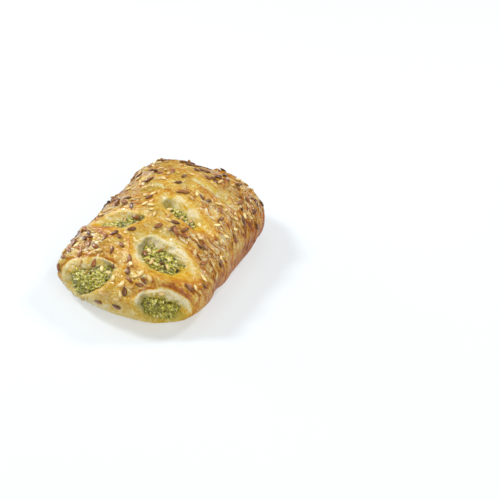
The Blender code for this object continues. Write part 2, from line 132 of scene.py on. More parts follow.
# The flaky corner at the near left, and the outer parts, at both sides and in part at the far end.
CORNER = Named(near=(0.050, 0.060), left=(0.004, 0.016))
OUTER = Named(sides=(0.006, 0.024), far=(0.022, 0.046), share=0.8)
# Roughness of the crust, what these places add, and by what share it is smoother at the near end, on
# the steep sides and the right one, where it ends, and how it starts at a rim and in the corner.
ROUGH = Named(
    usual=0.50, outer=0.60, corner=0.50, most=1.1, end_smooth=0.30, near_end=(0.056, 0.068),
    side_smooth=0.50, right_smooth=0.32, sides=(0.95, 1.15), end=(1.45, 1.75),
    rim=(0.0000, 0.0035), corner_rim=(-0.0010, -0.0020), closed=0.7)
# A strip of flakes beyond a near rim in the corner, at its distance from the rim.
STRIP = Named(
    side=(0.002, 0.006), gap=0.0022, width=0.0024, height=0.0005, flakes=Noise(1.0, 0.22, 0.0008, 97, 1))

# ---- bake of the crust: 0 is the palest dough and 1 the darkest brown ----
# What each thing adds, over how far, and where.
BAKE = Named(
    usual=0.47, mottle=(Noise(0.16, 0.013, 0.013, 31), Noise(0.14, 0.004, 0.004, 37)),
    side_even=0.5, sides=(0.9, 1.2), rough=-0.07, wrinkle=0.06, groove=0.36, fold=-0.10, outer=0.08,
    strip=-0.08, flakes=0.50, far_rim=-0.08, far_width=0.0035,
    near_end=-0.27, end_part=(0.75, 0.95), end_start=(0.82, 1.15),
    base=0.66, base_mottle=Noise(0.15, 0.009, 0.009, 43), base_start=(1.72, 1.86))
# Places baked more or less, and the edges over which that sets in: signs of u and v, start and end.
BAKED_PLACES = (
    (0.13, ((0, 1, -0.010, 0.050),)),
    (-0.24, ((1, 0, 0.034, 0.044), (0, -1, 0.040, 0.052))),
    (0.09, ((-1, 0, 0.010, 0.025), (0, -1, 0.015, 0.025), (0, 1, -0.052, -0.045))))
# The flanks lie where the share of the way across, less some of the one along, is over the edge.
FLANK = Named(
    bake=0.06, right=0.15, start=(0.86, 1.08), along=0.72, edge=(0.0, 0.25), less=0.4, low=(1.35, 1.70))

# Where a slot's wall shows pale: on the far side of its line and at the inner tip, from outside a far
# rim to inside it, sooner and less softly at the rims with a brown line, and at once at a near rim.
PALE = Named(
    side=(-0.004, 0.002), tip=(0.1, 0.5), soft=Noise(0.0026, 0.0045, 0.0045, 71),
    far=(-0.0030, 0.0022), corner=(-0.0004, 0.0018), corner_soft=0.3, near=(-0.0003, 0.0014), near_share=0.4)
# How far it is baked, and what is added in the corner slots, in the left one, towards the outer tip of
# the others, and in slots that are narrow, as they opened late, or of medium width.
PALE_BAKE = Named(
    usual=0.05, corner=0.03, left=0.12, outer=0.10, outer_part=(-0.2, 0.9), narrow=0.34,
    narrow_widths=(0.0034, 0.0052), medium=0.10, medium_widths=(0.0075, 0.0090),
    mottle=Noise(0.12, 0.0035, 0.0035, 41), streaks=Noise(0.10, 0.0080, 0.0011, 83, 1))
# The brown line on a far rim: what it adds, and what is added in a corner slot, less at the outer tip.
LINE = Named(
    bake=0.10, corner=0.30, less=0.4, outer_part=(0.2, 0.8), width=0.0011, corner_shift=0.0003,
    wave=Noise(0.0009, 0.0030, 0.0030, 85), usual=0.7, patches=Noise(0.6, 0.005, 0.005, 87))

# ---- glaze, the green that the filling's juice leaves, and painted shade in the pockets ----
GLAZE = Named(
    usual=0.7, outer=0.3, depth=(0.02, 0.22), sides=(0.92, 1.25), side_less=0.95, corner=0.9,
    corner_depth=(0.02, 0.15))
POCKET_SHADE = Named(part=(0.40, 0.85), depth=(0.06, 0.40), damp=0.5)  # painted shade in the recess under the inner tip, which also counts as damp dough
# How far up from the filling the wall is wet, and more in the right corner slot; what stains the dough
# past the near rims of the corner slots; narrow slots; and faint patches on the top.
WET = Named(height=0.20, right=0.25, least=0.01, spills=Noise(0.8, 0.0016, 0.0016, 73), rim=(-0.0005, 0.0010))
STAIN = Named(damp=0.25, right=0.55, width=0.0025)
DAMP_SLOTS = Named(damp=0.5, widths=(0.0045, 0.0065))
DAMP_PATCHES = Named(damp=0.35, noise=Noise(1.0, 0.014, 0.010, 81), shown=(0.0, 0.5), end=(0.6, 0.9))

# How much of the material's lines, with their painted glints and shadows, and of its blotches shows, and how
# much less down the sides.
LINED_LIGHT_AND_SHADE = Named(less=0.9, sides=(0.80, 1.05))
BLOTCH = Named(usual=0.46, less=0.24, sides=(0.90, 1.15))

# Dents and swellings of the whole shape: place, radius and depth.
Dent = namedtuple("Dent", "place radius depth")
DENTS = (
    Dent((-0.0410, 0.0220), 0.0080, 0.0017),
    Dent((-0.0415, -0.0410), 0.0095, 0.0021),
    Dent((-0.0030, 0.0500), 0.0090, 0.0018),
    Dent((0.0260, 0.0570), 0.0090, 0.0016),
    Dent((0.0560, -0.0267), 0.0080, 0.0012),
    Dent((0.0543, 0.0454), 0.0070, 0.0010),
    Dent((-0.0376, -0.0690), 0.0080, -0.0010),
)


# ---- noise ----
REPEAT = 256  # squares after which the noise repeats


def soft_noise(x, y, seed):
    """Smooth noise, -1 to 1: random numbers at the corners of unit squares, blended by cubic steps."""
    table = np.random.default_rng(seed).uniform(-1.0, 1.0, (REPEAT, REPEAT))
    i = np.floor(x).astype(int)
    j = np.floor(y).astype(int)
    s = (x - i) ** 2 * (3 - 2 * (x - i))
    t = (y - j) ** 2 * (3 - 2 * (y - j))
    low, high = (
        table[i % REPEAT, k % REPEAT] * (1 - s) + table[(i + 1) % REPEAT, k % REPEAT] * s for k in (j, j + 1))
    return low * (1 - t) + high * t


def noise(kind, x, y, shift=0):
    """Soft noise of one kind: the sum of octaves that are each half as high and twice as fine as the
    last, scaled to the kind's height."""
    x = x / kind.across + shift
    y = y / kind.along
    total = sum(soft_noise(x * 2 ** k, y * 2 ** k, kind.seed + k) / 2 ** k for k in range(kind.octaves))
    return kind.height * (total / (2 - 0.5 ** (kind.octaves - 1)))


def cells(x, y, seed):
    """Distance to the nearest of one random point in each unit square, and that point's own
    random number."""
    table = np.random.default_rng(seed).random((REPEAT, REPEAT, 3))
    i = np.floor(x).astype(int)
    j = np.floor(y).astype(int)
    nearest = np.full(np.shape(x), 9.0)
    own = np.zeros(np.shape(x))
    for di in (-1, 0, 1):
        for dj in (-1, 0, 1):
            point = table[(i + di) % REPEAT, (j + dj) % REPEAT]
            away = np.hypot(i + di + point[..., 0] - x, j + dj + point[..., 1] - y)
            own = np.where(away < nearest, point[..., 2], own)
            nearest = np.minimum(nearest, away)
    return nearest, own


def step(value, start, end):
    """0 before start, 1 after end, and a smooth cubic step between."""
    t = np.clip((value - start) / (end - start), 0.0, 1.0)
    return t * t * (3 - 2 * t)


def bell(value, width):
    """1 at zero, falling away on both sides as a bell curve of this width."""
    return np.exp(-(value / width) ** 2)


# ---- the pillow ----
def quarter_arc(power, radius, rise):
    """A quarter superellipse from its top to its side: shares of its arc, radius and height, and
    its length."""
    angle = np.linspace(0.0, np.pi / 2, ARC_POINTS)
    out = np.sin(angle) ** (2 / power)
    up = np.cos(angle) ** (2 / power)
    steps = np.hypot(np.diff(radius * out), np.diff(rise * up))
    arc = np.concatenate([[0.0], np.cumsum(steps)])
    return arc / arc[-1], out, up, arc[-1]


MEAN_RADIUS = (HALF_WIDTH + HALF_LENGTH) / 2
TOP_ARC = quarter_arc(TOP_POWER, MEAN_RADIUS, RISE_ABOVE)
BASE_ARC = quarter_arc(BASE_POWER, MEAN_RADIUS, DROP_BELOW)
ACROSS = quarter_arc(TOP_POWER, HALF_WIDTH, RISE_ABOVE)[3]
ALONG = quarter_arc(TOP_POWER, HALF_LENGTH, RISE_ABOVE)[3]


def reach(u, v):
    """0 in the middle of the top, 1 at the widest level, 2 in the middle of the base."""
    return (np.abs(u / ACROSS) ** PLAN_POWER + np.abs(v / ALONG) ** PLAN_POWER) ** (1 / PLAN_POWER)


def nested_pillow(u, v, wall):
    """Point and outward normal at arcs (u, v) of the pillow that lies inside the plain one, where
    wall is the share of the dough's thickness to go in. Outline, upper and lower sides are
    superellipses."""
    wide = HALF_WIDTH - wall * SIDE_WALL
    long = HALF_LENGTH - wall * SIDE_WALL
    r = np.maximum(reach(u, v), 1e-6)
    above = r <= 1.0
    share = np.where(above, r, 2.0 - r)
    out, up = (
        np.where(above, np.interp(share, TOP_ARC[0], TOP_ARC[i]), np.interp(share, BASE_ARC[0], BASE_ARC[i]))
        for i in (1, 2))
    height = np.where(above, RISE_ABOVE - wall * TOP_WALL, wall * BASE_WALL - DROP_BELOW)
    power = np.where(above, TOP_POWER, BASE_POWER)
    x = u / ACROSS / r * out
    y = v / ALONG / r * out
    point = np.stack([x * wide, y * long, DROP_BELOW + height * up], axis=-1)
    steep = np.maximum(out, 1e-3) ** (power - PLAN_POWER)
    normal = np.stack([
        steep * np.abs(x) ** (PLAN_POWER - 1) * np.sign(x) / HALF_WIDTH,
        steep * np.abs(y) ** (PLAN_POWER - 1) * np.sign(y) / HALF_LENGTH,
        up ** (power - 1) / height], axis=-1)
    return point, normal / np.linalg.norm(normal, axis=-1, keepdims=True)


def pull_out_of_true(point):
    """Skew, bow, waist and rise of the baked pillow, with its base cut flat."""
    x, y, z = point[..., 0], point[..., 1], point[..., 2]
    along = y / HALF_LENGTH
    across = x / HALF_WIDTH
    x_out = x * (1 + TAPER * along + WAIST * (along ** 2 - 0.3)) + SKEW * along + BOW * (1 - along ** 2)
    y_out = y - ROUND_ENDS * np.sign(y) * along ** 2 * across ** 2
    above = np.maximum(z - DROP_BELOW, 0.0)
    z_out = np.minimum(z, DROP_BELOW) + above * (1 + FAR_RISE * along) * (1 + LEAN * across)
    z_out = np.maximum(z_out - BASE_CUT, 0.0)
    return np.stack([x_out - CENTRE[0], y_out - CENTRE[1], z_out], axis=-1)


# ---- slots ----
def slot_axes(slot):
    """A slot's middle, half its length, and its directions along and towards the far side."""
    inner = np.array(slot.inner)
    outer = np.array(slot.outer)
    half = np.linalg.norm(outer - inner) / 2
    along = (outer - inner) / (2 * half)
    far = np.array([-along[1], along[0]])
    return (inner + outer) / 2, half, along, far * np.sign(far[1])


def rim_distances(slot, u, v):
    """Distances from (u, v) to the far and to the near half of a slot's rim, whether it is inside,
    and its place along the slot and off its line. Each half is an arc between the tips,
    w * (1 - a^2) ** RIM_POWER, taken as short straight pieces; the distance is the least to any."""
    middle, half, along, far = slot_axes(slot)
    x = (u - middle[0]) * along[0] + (v - middle[1]) * along[1]
    y = (u - middle[0]) * far[0] + (v - middle[1]) * far[1]
    turn = np.linspace(0, np.pi, RIM_POINTS + 1)
    rim_x = np.cos(turn) * half
    bulge = np.sin(turn) ** (2 * RIM_POWER)
    least = []
    for width in (slot.far, -slot.near):
        nearest = np.full(np.shape(u), 1.0)
        for k in range(RIM_POINTS):
            start = np.array([rim_x[k], width * bulge[k]])
            piece = np.array([rim_x[k + 1], width * bulge[k + 1]]) - start
            t = np.clip(((x - start[0]) * piece[0] + (y - start[1]) * piece[1]) / (piece @ piece), 0.0, 1.0)
            nearest = np.minimum(nearest, np.hypot(x - start[0] - t * piece[0], y - start[1] - t * piece[1]))
        least.append(nearest)
    a = x / half
    width = np.where(y > 0, slot.far, slot.near) * np.clip(1 - a ** 2, 0.0, 1.0) ** RIM_POWER
    return least[0], least[1], (np.abs(a) < 1) & (np.abs(y) < width), a, y


def ragged(u, v):
    """(u, v) shifted a little by slow and finer noise, so that the rims are torn, not drawn."""
    return [
        place + (noise(slow, u, v) + noise(fine, u, v)) for place, slow, fine in zip((u, v), RAGGED, FRAYED)]


def slot_gap(u, v):
    """Distance outside the nearest slot's rim, before it is torn, or inside it where negative."""
    gap = np.full(np.shape(u), 1.0)
    for slot in SLOTS:
        to_far, to_near, inside, _, _ = rim_distances(slot, u, v)
        gap = np.minimum(gap, np.minimum(to_far, to_near) * np.where(inside, -1.0, 1.0))
    return gap


def slot_field(u, v):
    """For each (u, v): distance outside the nearest rim, depth into the dough inside a slot as a
    share, the lip on the near side, which slot is nearest, and the place off and along its line.
    The depth is a product of two falls: one with the distance from the far half of the rim, one
    with that from the near half."""
    gap = np.full(np.shape(u), 1.0)
    depth, lip, side, place = np.zeros((4, *np.shape(u)))
    nearest = np.zeros(np.shape(u), int)
    torn_u, torn_v = ragged(u, v)
    for number, slot in enumerate(SLOTS):
        to_far, to_near, inside, a, b = rim_distances(slot, torn_u, torn_v)
        here = np.minimum(to_far, to_near) * np.where(inside, -1.0, 1.0)
        near_slope = WALL.near + (WALL.inner - WALL.near) * step(-a, *WALL.inner_part)
        near_slope = near_slope + (WALL.outer - WALL.near) * step(a, *WALL.outer_part)
        far_slope = slot.slope * (1 - WALL.steeper * step(-a, *WALL.steeper_part))
        fall = np.clip(to_far / far_slope, 0.0, 1.0) ** WALL.far_round
        fall = fall * np.clip(to_near / near_slope, 0.0, 1.0) ** WALL.near_round
        depth = np.maximum(depth, np.where(inside, slot.floor * fall, 0.0))
        near = step(-b, 0.0, SIDE_BLEND) * bell(here / LIP.width - LIP.crest, 1) * (here > -LIP.width)
        lip = np.maximum(lip, near * min(1.0, slot.near / LIP.full))
        closer = here < gap
        nearest = np.where(closer, number, nearest)
        side = np.where(closer, b, side)
        place = np.where(closer, a, place)
        gap = np.minimum(gap, here)
    return gap, depth, lip, nearest, side, place


# ---- the crust ----
def unevenness(u, v):
    """Slow waves over the whole crust, between -1 and 1: the product of two and part of a third."""
    first, second, third = (np.sin(across * u + along * v + phase) for across, along, phase in UNEVEN_WAVES)
    return (first * second + THIRD_WAVE * third) / (1 + THIRD_WAVE)


def dents(u, v):
    """How far the whole shape is dented at (u, v): bell curves round a few places."""
    return sum(
        dent.depth * np.exp(-((u - dent.place[0]) ** 2 + (v - dent.place[1]) ** 2) / dent.radius ** 2)
        for dent in DENTS)


def strand_place(u, v):
    """Places along and across the strands of dough, in metres: the strands run outwards over the
    sides and slant towards the near end, more so there."""
    slant = SLANT.usual + SLANT.more * step(-v, *SLANT.near)
    return np.abs(u), v + slant * np.abs(u) + noise(SLANT.wander, u, v)


def strand_relief(u, v):
    """Long wrinkles, folds and grooves, all stretched along the strands. A groove is a bell curve
    where the folds' noise crosses zero."""
    along, across = strand_place(u, v)
    shift = OTHER_SIDE * (u > 0)
    wrinkle = noise(WRINKLES, along, across, shift)
    warped = across + noise(FOLD_WARP, u, v)
    folds = noise(FOLDS, along, warped, shift) + noise(FINE_FOLDS, along, warped, shift)
    return wrinkle, folds, bell(folds, GROOVE.width) * step(noise(GROOVE.patches, u, v), *GROOVE.shown)


def crust_form(u, v):
    """Point on the crust, and what its colours are made from, at each (u, v). The pillow is sunk at
    the slots by their depth with waves on it, and lifted along its normal by the sum of puffing,
    lips, slow waves, wrinkles, blisters and flakes, less grooves and dents."""
    gap, depth, lip, nearest, side, place = slot_field(u, v)
    r = reach(u, v)
    body = 1 - step(r, *BODY_END)
    closed = np.array([slot.swell == 0 for slot in SLOTS])[nearest]
    bare = np.where(closed, 1.0, np.clip(1 - depth / BARE_DEPTH, 0.0, 1.0))
    wrinkle, folds, groove = strand_relief(u, v)
    corner = step(-v, *CORNER.near) * step(-u, *CORNER.left)
    outer = np.maximum(step(np.abs(u), *OUTER.sides), OUTER.share * step(v, *OUTER.far))
    rough = np.clip(ROUGH.usual + ROUGH.outer * outer + ROUGH.corner * corner, 0.0, ROUGH.most)
    rough = rough * (1 - LIP.smooth * lip * (1 - corner))
    rough = rough * (1 - ROUGH.end_smooth * step(-v, *ROUGH.near_end) * (1 - corner))
    rough = rough * (1 - (ROUGH.side_smooth + ROUGH.right_smooth * (u > 0)) * step(r, *ROUGH.sides))
    rim = [usual + change * corner for usual, change in zip(ROUGH.rim, ROUGH.corner_rim)]
    rough = rough * (1 - step(r, *ROUGH.end)) * np.maximum(step(gap, *rim), ROUGH.closed * closed) * bare
    strip = corner * step(-side, *STRIP.side) * bell(gap - STRIP.gap, STRIP.width)
    flakes = noise(STRIP.flakes, place, gap) * strip
    lift = PUFF.height * (PUFF.level - np.exp(-np.maximum(gap, 0.0) / PUFF.width)) + LIP.height * lip
    lift = lift * (1 - step(r, *PUFF.end)) + UNEVEN * unevenness(u, v) * body - dents(u, v)
    lift = lift + rough * (WRINKLE * wrinkle - GROOVE.depth * groove) + STRIP.height * flakes
    lift = lift + bare * body * noise(BLISTERS, u, v)
    waves = sum(noise(kind, u, v) for kind in WALL_WAVES) * step(depth, *WALL_START)
    point, normal = nested_pillow(u, v, np.maximum(depth + waves, 0.0))
    point = pull_out_of_true(point + normal * (lift * bare)[..., None])
    return point, Named(
        gap=gap, beyond=np.maximum(gap, 0.0), depth=depth, side=side, place=place, reach=r,
        in_corner=np.isin(nearest, CORNER_SLOTS), width=np.array([slot.far for slot in SLOTS])[nearest],
        wrinkle=wrinkle, groove=groove, fold=np.clip(FOLD_RISE * np.abs(folds), 0.0, 1.0), outer=outer,
        corner=corner, strip=strip, flakes=flakes, rough=rough)


def wall_bake(u, v, at):
    """How much of a slot's wall shows at each (u, v), on the far side and on either, and its bake."""
    soft = noise(PALE.soft, u, v)
    far_wall = np.where(
        at.in_corner, step(PALE.corner_soft * soft - at.gap, *PALE.corner), step(soft - at.gap, *PALE.far))
    far_wall = far_wall * np.maximum(step(at.side, *PALE.side), step(-at.place, *PALE.tip))
    wall = np.maximum(far_wall, step(-at.gap, *PALE.near) * PALE.near_share)
    outer = PALE_BAKE.outer * step(at.place, *PALE_BAKE.outer_part)
    bake = PALE_BAKE.usual + np.where(at.in_corner, PALE_BAKE.corner + PALE_BAKE.left * (u < 0), outer)
    bake = bake + PALE_BAKE.narrow * (1 - step(at.width, *PALE_BAKE.narrow_widths))
    bake = bake + PALE_BAKE.medium * (1 - step(at.width, *PALE_BAKE.medium_widths))
    return far_wall, wall, bake + noise(PALE_BAKE.mottle, u, v) + noise(PALE_BAKE.streaks, u, v)


def rim_line(u, v, at):
    """The brown line on a far rim: a bell curve across it, broken into patches."""
    line = bell(at.gap + noise(LINE.wave, u, v) - LINE.corner_shift * at.in_corner, LINE.width)
    line = line * step(at.side, *PALE.side) * (LINE.usual + noise(LINE.patches, u, v))
    brown = LINE.bake + LINE.corner * at.in_corner * (1 - LINE.less * step(at.place, *LINE.outer_part))
    return line * brown


def crust_bake(u, v, at, wall, pale):
    """How far the crust is baked, 0 pale to 1 dark: the sum of mottling, browner places, relief and
    flanks, blended into the slots' pale walls and the base."""
    mottle = sum(noise(kind, u, v) for kind in BAKE.mottle)
    bake = BAKE.usual + mottle * (1 - BAKE.side_even * step(at.reach, *BAKE.sides)) + BAKE.outer * at.outer
    for change, edges in BAKED_PLACES:
        bake = bake + change * np.prod(
            [step(across * u + along * v, start, end) for across, along, start, end in edges], axis=0)
    # darker in the grooves: partly their baked brown lines, partly painted shade in them
    bake = bake + at.rough * (BAKE.rough + BAKE.groove * at.groove + BAKE.fold * at.fold)
    bake = bake + BAKE.wrinkle * at.wrinkle
    bake = bake + BAKE.far_rim * step(at.side, *PALE.side) * np.exp(-at.beyond / BAKE.far_width)
    flank = step(at.reach, *FLANK.start)
    flank = flank * step(np.abs(u) / ACROSS - FLANK.along * np.abs(v) / ALONG, *FLANK.edge)
    bake = bake + (FLANK.bake + FLANK.right * (u > 0)) * flank * (1 - FLANK.less * step(at.reach, *FLANK.low))
    near_end = step(-v / ALONG, *BAKE.end_part) * (1 - flank) * step(at.reach, *BAKE.end_start)
    bake = (bake + BAKE.near_end * near_end) * (1 - wall) + wall * pale + rim_line(u, v, at)
    bake = bake + BAKE.strip * at.strip + BAKE.flakes * at.flakes
    under = step(at.reach, *BAKE.base_start)
    return np.clip(bake * (1 - under) + under * (BAKE.base + noise(BAKE.base_mottle, u, v)), 0.0, 1.0)


def crust_glaze(at):
    """How much egg glaze the crust has: it ends down in the slots and down the sides, but not in
    the flaky corner."""
    glaze = (1 - step(at.depth, *GLAZE.depth)) * (1 - GLAZE.side_less * step(at.reach, *GLAZE.sides))
    glaze = glaze * (GLAZE.usual + GLAZE.outer * at.outer)
    return np.maximum(glaze, GLAZE.corner * at.corner * (1 - step(at.depth, *GLAZE.corner_depth)))


def crust_damp(u, v, at, far_wall, pocket_shade):
    """How much green juice is on the dough: the most of what creeps up the walls, an exponential of
    the height, of the pockets under the inner tips, whose painted shade counts as damp too, of stains
    past the corner slots, of narrow slots and of faint patches."""
    above = np.maximum(filling_share(u, v)[0] - at.depth, 0.0)
    climb = (WET.height + WET.right * at.in_corner * (u > 0)) * (1 + noise(WET.spills, u, v)) + WET.least
    wet = np.exp(-above / climb) * step(-at.gap, *WET.rim)
    stain = at.in_corner * step(-at.side, *STRIP.side) * np.exp(-at.beyond / STAIN.width)
    narrow = far_wall * (1 - step(at.width, *DAMP_SLOTS.widths))
    patches = step(noise(DAMP_PATCHES.noise, u, v), *DAMP_PATCHES.shown)
    patches = patches * (1 - step(at.reach, *DAMP_PATCHES.end))
    return np.max([
        wet, POCKET_SHADE.damp * pocket_shade, (STAIN.damp + STAIN.right * (u > 0)) * stain, DAMP_SLOTS.damp * narrow,
        DAMP_PATCHES.damp * patches], axis=0)


def crust_marks(u, v, at):
    """What the crust's material reads, at each (u, v)."""
    far_wall, wall, pale = wall_bake(u, v, at)
    # the pockets under the inner tips are painted shade, darker and olive
    pocket_shade = step(-at.place, *POCKET_SHADE.part) * step(at.depth, *POCKET_SHADE.depth)
    return {
        "bake": crust_bake(u, v, at, wall, pale), "glaze": crust_glaze(at), "pocket_shade": pocket_shade,
        "damp": crust_damp(u, v, at, far_wall, pocket_shade), "rough": at.rough,
        "lined_light_and_shade": at.rough * (1 - LINED_LIGHT_AND_SHADE.less * step(at.reach, *LINED_LIGHT_AND_SHADE.sides)),
        "blotch": BLOTCH.usual - BLOTCH.less * step(at.reach, *BLOTCH.sides)}


# ---- meshes ----
def grid_faces(index):
    """Faces of a grid of point numbers, and the ring of points round its edge."""
    quads = np.stack([index[:-1, :-1], index[:-1, 1:], index[1:, 1:], index[1:, :-1]], axis=-1)
    edge = np.concatenate([index[0, :-1], index[:-1, -1], index[-1, :0:-1], index[:0:-1, 0]])
    return quads.reshape(-1, 4), edge


def ring_faces(upper, lower):
    """Faces between two rings of as many points."""
    return np.stack([lower, np.roll(lower, -1), np.roll(upper, -1), upper], axis=-1)


def fan_faces(ring, last):
    """Triangles between a ring and one last point."""
    return np.stack([np.full(ring.size, last), np.roll(ring, -1), ring], axis=-1)


def pillow_grid(columns, rows, rings):
    """(u, v) of a square grid over the top, out to the widest level, then of rings at the given
    reaches down to one last point under the base, with the faces between them."""
    s, t = np.meshgrid(np.linspace(-1, 1, columns + 1), np.linspace(-1, 1, rows + 1))
    r = np.maximum((np.abs(s) ** PLAN_POWER + np.abs(t) ** PLAN_POWER) ** (1 / PLAN_POWER), 1e-9)
    share = np.maximum(np.abs(s), np.abs(t)) / r
    top_u = (s * share * ACROSS).ravel()
    top_v = (t * share * ALONG).ravel()
    top, edge = grid_faces(np.arange(s.size).reshape(s.shape))
    u = np.concatenate([top_u] + [top_u[edge] * ring for ring in rings] + [[0.0]])
    v = np.concatenate([top_v] + [top_v[edge] * ring for ring in rings] + [[1e-6]])
    levels = [edge] + [s.size + ring * edge.size + np.arange(edge.size) for ring in range(len(rings))]
    sides = [ring_faces(upper, lower) for upper, lower in zip(levels, levels[1:])]
    return u, v, np.concatenate([top] + sides), fan_faces(levels[-1], len(u) - 1)


def new_object(name, data):
    """A new object in the scene."""
    made = bpy.data.objects.new(name, data)
    bpy.context.scene.collection.objects.link(made)
    return made


def make_piece(name, points, quads, triangles, material, marks, uv=None):
    """A smooth-shaded mesh object at the origin with its point attributes and its UV map."""
    mesh = bpy.data.meshes.new(name)
    mesh.from_pydata(points.tolist(), [], quads.tolist() + triangles.tolist())
    mesh.polygons.foreach_set("use_smooth", np.ones(len(mesh.polygons), bool))
    for label, values in marks.items():
        attribute = mesh.attributes.new(label, "FLOAT", "POINT")
        attribute.data.foreach_set("value", np.asarray(values, np.float32))
    if uv is not None:
        corners = np.zeros(len(mesh.loops), int)
        mesh.loops.foreach_get("vertex_index", corners)
        layer = mesh.uv_layers.new(name="surface")
        layer.data.foreach_set("uv", uv[corners].astype(np.float32).ravel())
    mesh.materials.append(material)
    piece = new_object(name, mesh)
    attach(piece, "root")
    return piece


# ---- materials ----
def linear(red, green, blue):
    """Linear colour from everyday 0 to 255 values: a straight foot, then a power of 2.4."""
    share = np.array([red, green, blue]) / 255
    return (*np.where(share <= 0.04045, share / 12.92, ((share + 0.055) / 1.055) ** 2.4), 1.0)


def add(tree, kind, wired=None, **settings):
    """A shader node with its settings, and its inputs wired or set by name."""
    made = tree.nodes.new("ShaderNode" + kind)
    for key, value in settings.items():
        setattr(made, key, value)
    for socket, value in (wired or {}).items():
        if isinstance(value, bpy.types.NodeSocket):
            tree.links.new(value, made.inputs[socket])
        else:
            made.inputs[socket].default_value = value
    return made


def sums(tree, operation, first, second, third=0.0):
    """The result of one operation on values or sockets."""
    return add(tree, "Math", {0: first, 1: second, 2: third}, operation=operation).outputs[0]


def swing(tree, value, factor, onto):
    """A texture's value about its middle, times a factor, added onto another value."""
    return sums(tree, "MULTIPLY_ADD", sums(tree, "SUBTRACT", value, 0.5), factor, onto)


def mark(tree, name):
    """A point attribute's value."""
    return add(tree, "Attribute", attribute_name=name).outputs["Fac"]


def texture(tree, place, grain):
    """A noise texture's value, 0 to 1."""
    scale, detail, distortion = grain
    sockets = {"Vector": place, "Scale": scale, "Detail": detail, "Distortion": distortion}
    return add(tree, "TexNoise", sockets).outputs["Fac"]


def ramp(tree, factor, stops):
    """A colour ramp through (place, colour) stops."""
    made = add(tree, "ValToRGB", {"Fac": factor})
    elements = made.color_ramp.elements
    for place, colour in stops[1:-1]:
        elements.new(place).color = colour
    elements[0].position, elements[0].color = stops[0]
    elements[-1].position, elements[-1].color = stops[-1]
    return made.outputs["Color"]


def mix(tree, factor, first, second):
    """A blend from a first to a second colour."""
    return add(tree, "Mix", {0: factor, 6: first, 7: second}, data_type="RGBA").outputs[2]


def bump(tree, shader, socket, height, distance):
    """A relief, this many metres high where its height is 1, wired to one of the shader's normals."""
    made = add(tree, "Bump", {"Height": height, "Strength": 1.0, "Distance": distance})
    tree.links.new(made.outputs[0], shader.inputs[socket])


def new_material(name, **constants):
    """A material with its tree and its shader, which has these constant values."""
    material = bpy.data.materials.new(name)
    material.use_nodes = True
    shader = material.node_tree.nodes["Principled BSDF"]
    for socket, value in constants.items():
        shader.inputs[socket.replace("_", " ")].default_value = value
    return material, material.node_tree, shader


# Colours from the palest to the darkest dough, and from the filling's gaps, darkened by painted shade, to its
# cheese.
DOUGH_COLOURS = (
    (0.00, linear(218, 211, 184)), (0.16, linear(210, 193, 134)), (0.32, linear(203, 168, 66)),
    (0.50, linear(190, 139, 30)), (0.66, linear(174, 106, 18)), (0.82, linear(158, 84, 16)),
    (1.00, linear(118, 56, 12)))
FILLING_COLOURS = (
    (0.00, linear(70, 60, 6)), (0.25, linear(104, 98, 10)), (0.50, linear(156, 153, 24)),
    (0.75, linear(208, 201, 78)), (1.00, linear(246, 238, 190)))
OLIVE = linear(156, 152, 56)  # dough that the filling's juice has soaked
OLIVE_SHARE = 0.60
# painted shade in the recesses under the slots' inner tips, and how much of it shows
POCKET_SHADE_COLOUR = linear(94, 88, 32)
POCKET_SHADE_SHARE = 0.60

# Textures' scale, detail and distortion: on the strands, and then per metre.
STRAND_SCALE = (170.0, 900.0, 1.0)
STREAKS = (1.0, 3.0, 0.8)
WAVES = (0.7, 2.0, 1.2)
SPECKS = (1000.0, 2.0, 0.0)
PATCHES = (260.0, 4.0, 0.0)
DIMPLES = (620.0, 1.0, 0.0)
FILLING_SPECKS = (1300.0, 3.0, 0.0)
DROPS = (600.0, 1.0, 0.0)
BIT_MOTTLE = (900.0, 2.0, 0.0)

# Where the waves pass the middle, a dark line lies beside a light one, above a steep terrace: partly the
# flakes' own paler edges and brown lines, partly a painted glint on the light one and painted shadow on the
# dark one.
FLAKE_LINE_LIGHT_AND_SHADE = (
    (0.00, 0.50), (0.44, 0.50), (0.48, 1.00), (0.51, 1.00), (0.53, 0.00), (0.57, 0.05), (0.63, 0.50),
    (1.00, 0.50))
TERRACE = Named(foot=0.49, steep=16.0)
# What changes the bake, the roughness, the relief and the glaze's relief, which are in metres.
CRUST = Named(
    speck_bake=0.72, line_bake=0.70, dry=0.74, glazed=-0.36, terrace=0.45, specks=0.50, relief=0.0008,
    gloss_waves=1.6, gloss_terrace=0.5, gloss_dimples=2.0, gloss=0.00036)
FILLING = Named(contrast=1.1, relief=0.0007, gloss=0.0009)
BIT_CONTRAST = 0.7


